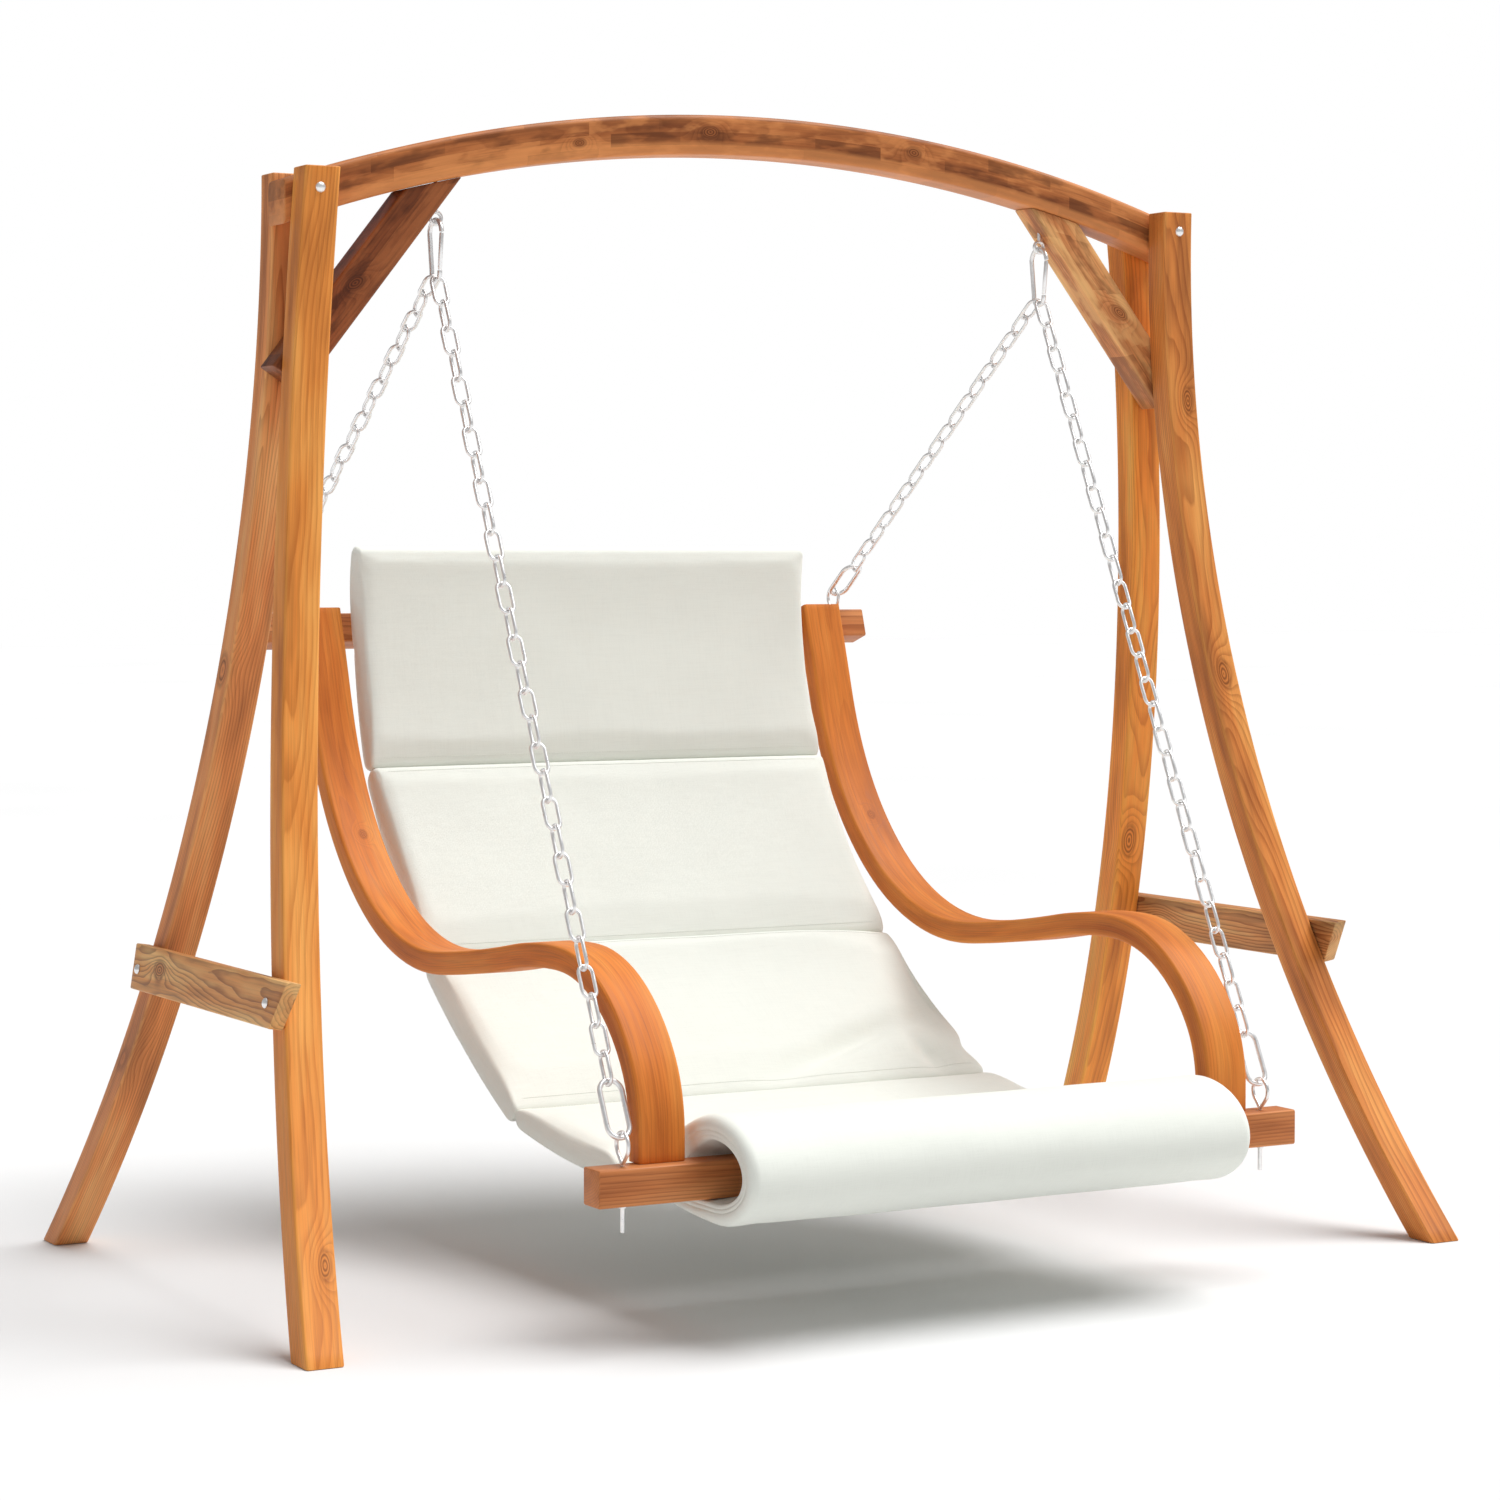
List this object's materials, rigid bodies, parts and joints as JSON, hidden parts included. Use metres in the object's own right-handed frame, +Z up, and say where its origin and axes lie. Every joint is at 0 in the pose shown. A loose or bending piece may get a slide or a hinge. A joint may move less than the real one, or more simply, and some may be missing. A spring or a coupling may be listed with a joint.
{
  "type": "porch swing seat",
  "caption": "Padded sling swing seat with curved laminated wood arms, hung by chains and carabiners from an arched beam on a curved wooden A-frame stand.",
  "frame": {"origin": "on the floor, below the middle of the whole object's outline: midway between the left and right legs, and 41.5 mm in front of the line below the hanging axis", "axes": "+Z up, the seat faces -Y, +X runs along the beam towards the viewer's right when facing the seat"},
  "size_m": [2.05, 1.5222, 1.845],
  "materials": {
    "leg_wood": "oiled golden laminated softwood with knots",
    "beam_wood": "darker reddish brown block-laminated softwood",
    "arm_wood": "smooth orange brown bent lamination",
    "bar_wood": "reddish brown stained softwood",
    "board_wood": "strongly figured softwood",
    "zinc": "bright zinc plated",
    "sling_fabric": "off-white padded woven fabric"
  },
  "bodies": {
    "stand": {"leg_front_left": "leg_wood", "leg_front_right": "leg_wood", "leg_rear_left": "leg_wood", "leg_rear_right": "leg_wood", "top_beam": "beam_wood", "knee_brace_left": "beam_wood", "knee_brace_right": "beam_wood", "side_board_left": "board_wood", "side_board_right": "board_wood", "top_bolt_left": "zinc", "top_bolt_right": "zinc", "top_nut_left": "zinc", "top_nut_right": "zinc", "board_bolt_front_left": "zinc", "board_bolt_front_right": "zinc", "board_bolt_rear_left": "zinc", "board_bolt_rear_right": "zinc", "hanging_eye_left": "zinc", "hanging_eye_right": "zinc", "brace_screw_left": "zinc", "brace_screw_right": "zinc"},
    "seat": {"carabiner_left": "zinc", "carabiner_right": "zinc", "chain_front_left": "zinc", "chain_front_right": "zinc", "chain_rear_left": "zinc", "chain_rear_right": "zinc", "end_link_front_left": "zinc", "end_link_front_right": "zinc", "end_link_rear_left": "zinc", "end_link_rear_right": "zinc", "seat_eye_front_left": "zinc", "seat_eye_front_right": "zinc", "seat_eye_rear_left": "zinc", "seat_eye_rear_right": "zinc", "seat_nut_front_left": "zinc", "seat_nut_front_right": "zinc", "seat_nut_rear_left": "zinc", "seat_nut_rear_right": "zinc", "front_bar": "bar_wood", "rear_bar": "bar_wood", "arm_left": "arm_wood", "arm_right": "arm_wood", "arm_screw_front_left": "zinc", "arm_screw_front_right": "zinc", "arm_screw_rear_left": "zinc", "arm_screw_rear_right": "zinc", "sling_back_upper": "sling_fabric", "sling_back_middle": "sling_fabric", "sling_back_lower": "sling_fabric", "sling_seat": "sling_fabric", "sling_front_sleeve": "sling_fabric", "sling_rear_loop": "sling_fabric"},
    "gate_left": {"carabiner_gate_left": "zinc"},
    "gate_right": {"carabiner_gate_right": "zinc"}
  },
  "joints": [
    {"name": "swing", "type": "hinge", "parent": "stand", "child": "seat", "pos_m": [0, 0.04152, 1.6495], "axis": [1, 0, 0], "range_deg": [-20, 20]},
    {"name": "gate_left_open", "type": "hinge", "parent": "seat", "child": "gate_left", "pos_m": [-0.5632, 0.02666, 1.57674], "axis": [1, 0, 0], "range_deg": [-22, 0], "stiffness_Nm_per_rad": 0.05, "springref_deg": 5.73},
    {"name": "gate_right_open", "type": "hinge", "parent": "seat", "child": "gate_right", "pos_m": [0.5632, 0.02666, 1.57674], "axis": [1, 0, 0], "range_deg": [-22, 0], "stiffness_Nm_per_rad": 0.05, "springref_deg": 5.73}
  ]
}
